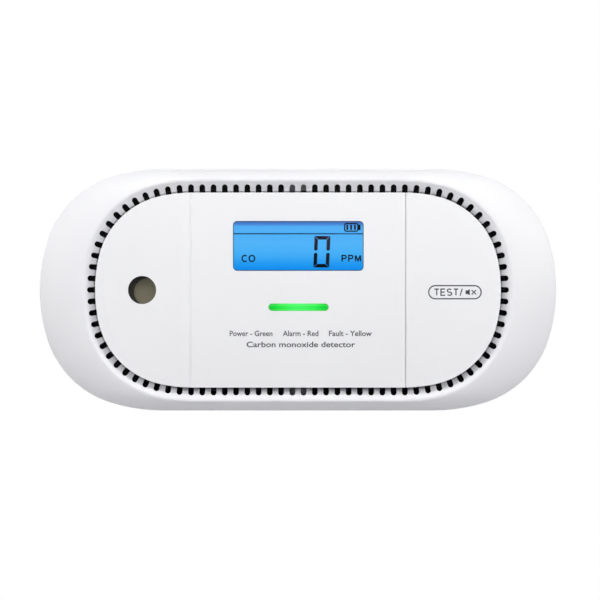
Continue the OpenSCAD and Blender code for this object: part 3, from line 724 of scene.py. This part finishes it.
def blank_form():
    """A ruled frame with empty lines on the foil label at the back."""
    size, mid = span("rating_label"), middle("rating_label")
    margin, corner_r, frame_line, row_line = 1.2 * MM, 1.0 * MM, 0.25 * MM, 0.18 * MM
    proud, thick = 0.015 * MM, 0.02 * MM
    width, height = size.x - 2 * margin, size.z - 2 * margin
    shapes = band(rounded_box(mid.x, mid.z, width, height, corner_r), frame_line)
    rows = 7
    for row in range(1, rows):
        z = mid.z + height * (row / rows - 0.5)
        shapes += band([(mid.x - width / 2, z), (mid.x + width / 2, z)], row_line, closed=False)
    mesh = slab_mesh("label_form", shapes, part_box("rating_label")[1].y + proud, thick)
    new_piece("label_form", mesh, INK, "alarm")


button_label()
legend()
blank_form()


# ---------- stage ----------

def stage_floor():
    """A pale round floor under the object that fades out at its rim. Its glow is for the eye only."""
    radius, fade_start, fade_end, drop, eye_glow = 0.9, 0.45, 0.88, 0.17, 0.28
    made = Surface("studio_floor", roughness=0.8)
    made.paint(colour(230, 230, 232), colour(235, 235, 237), 4.0)
    distance = made.node("ShaderNodeVectorMath", operation="LENGTH")
    made.link(made.place, distance.inputs[0])
    fade = made.node("ShaderNodeMapRange", interpolation_type="SMOOTHSTEP")
    fade.inputs["From Min"].default_value = fade_start
    fade.inputs["From Max"].default_value = fade_end
    fade.inputs["To Min"].default_value = 1.0
    fade.inputs["To Max"].default_value = 0.0
    made.link(distance.outputs["Value"], fade.inputs["Value"])
    made.link(fade.outputs["Result"], made.shader.inputs["Alpha"])
    glow = made.node("ShaderNodeMath", operation="MULTIPLY")
    glow.inputs[1].default_value = eye_glow
    made.link(made.node("ShaderNodeLightPath").outputs["Is Camera Ray"], glow.inputs[0])
    made.link(glow.outputs["Value"], made.shader.inputs["Emission Strength"])
    made.set("Emission Color", (1, 1, 1, 1))
    mesh = bpy.data.meshes.new("studio_floor")
    bm = bmesh.new()
    bmesh.ops.create_circle(bm, cap_ends=True, radius=radius, segments=96)
    bm.to_mesh(mesh)
    bm.free()
    floor = bpy.data.objects.new("studio_floor", mesh)
    floor.location = (0, 0, CAD_BOX[0][2] - drop)
    bpy.context.scene.collection.objects.link(floor)
    dress(floor, made.material)


def studio_world():
    """A soft light that grows towards the zenith and behind the object, white to the eye in front views."""
    world = bpy.data.worlds.new("studio")
    bpy.context.scene.world = world
    world.use_nodes = True
    overhead, behind, backdrop_dim, backdrop_full = 0.36, 0.4, 0.66, 1.0
    tree = world.node_tree
    place = tree.nodes.new("ShaderNodeTexCoord")
    split = tree.nodes.new("ShaderNodeSeparateXYZ")
    tree.links.new(place.outputs["Generated"], split.inputs["Vector"])

    def graded(axis, start, end, low, high, smooth=False):
        """A value that runs from low to high between two heights of one axis of the view direction."""
        made = tree.nodes.new("ShaderNodeMapRange")
        made.interpolation_type = "SMOOTHSTEP" if smooth else "LINEAR"
        for socket, value in (("From Min", start), ("From Max", end), ("To Min", low), ("To Max", high)):
            made.inputs[socket].default_value = value
        tree.links.new(split.outputs[axis], made.inputs["Value"])
        return made.outputs["Result"]

    total = tree.nodes.new("ShaderNodeMath")
    tree.links.new(graded("Z", 0.0, 1.0, 0.0, overhead), total.inputs[0])
    tree.links.new(graded("Y", 0.55, 1.0, 0.0, behind), total.inputs[1])
    sky = tree.nodes["Background"]
    sky.inputs["Color"].default_value = (0.985, 0.985, 1.0, 1.0)
    tree.links.new(total.outputs["Value"], sky.inputs["Strength"])
    backdrop = tree.nodes.new("ShaderNodeBackground")
    backdrop.inputs["Color"].default_value = (1, 1, 1, 1)
    seen = graded("Y", 0.55, 0.95, backdrop_dim, backdrop_full, smooth=True)
    tree.links.new(seen, backdrop.inputs["Strength"])
    eye = tree.nodes.new("ShaderNodeLightPath")
    blend = tree.nodes.new("ShaderNodeMixShader")
    tree.links.new(eye.outputs["Is Camera Ray"], blend.inputs["Fac"])
    tree.links.new(sky.outputs["Background"], blend.inputs[1])
    tree.links.new(backdrop.outputs["Background"], blend.inputs[2])
    tree.links.new(blend.outputs["Shader"], tree.nodes["World Output"].inputs["Surface"])


# Soft boxes: distance in metres, azimuth and elevation in degrees, size, power and spread in degrees
LAMPS = {
    "key_strip": (0.3, 0, 50, (0.45, 0.06), 0.6, 180),
    "front_strip": (0.277, 0, 20, (0.5, 0.05), 0.07, 180),
    "strip_left": (0.507, -58.2, 13.2, (0.25, 0.05), 0.757, 180),
    "strip_right": (0.507, 58.2, 13.2, (0.25, 0.05), 0.85, 180),
    "back_key": (0.6, 205, 12, (0.4, 0.25), 0.2, 60),
    "back_fill": (0.7, 130, 4, (0.3, 0.3), 0.1, 60),
}


def lamp(name, distance, azimuth, elevation, size, power, spread):
    """A soft box round the object: azimuth 0 is in front of it and 90 is to its right."""
    data = bpy.data.lights.new(name, "AREA")
    data.shape = "RECTANGLE"
    data.size, data.size_y = size
    data.energy = power
    data.spread = math.radians(spread)
    turn, rise = math.radians(azimuth), math.radians(elevation)
    way = Vector((math.sin(turn) * math.cos(rise), -math.cos(turn) * math.cos(rise), math.sin(rise)))
    light = bpy.data.objects.new(name, data)
    light.location = PANEL_MID + distance * way
    light.rotation_euler = (-way).to_track_quat("-Z", "Y").to_euler()
    bpy.context.scene.collection.objects.link(light)


def camera():
    """Almost square on to the front, a degree above it, and far enough away to look flat."""
    width_seen, aim_right, aim_down = 185.5 * MM, 0.63 * MM, 3.06 * MM
    data = bpy.data.cameras.new("front_camera")
    data.sensor_width = 36.0
    data.lens = 500.0
    data.clip_start = 0.01
    data.clip_end = 20.0
    distance = data.lens / data.sensor_width * width_seen
    tilt = math.radians(1.0)
    aim = Vector((aim_right, PANEL_Y, -aim_down))
    seen = bpy.data.objects.new("front_camera", data)
    seen.location = aim + distance * Vector((0, -math.cos(tilt), math.sin(tilt)))
    seen.rotation_euler = (math.radians(90) - tilt, 0, 0)
    bpy.context.scene.collection.objects.link(seen)
    bpy.context.scene.camera = seen


stage_floor()
studio_world()
for lamp_name, settings in LAMPS.items():
    lamp(lamp_name, *settings)
camera()
bpy.context.scene.view_settings.view_transform = "Standard"
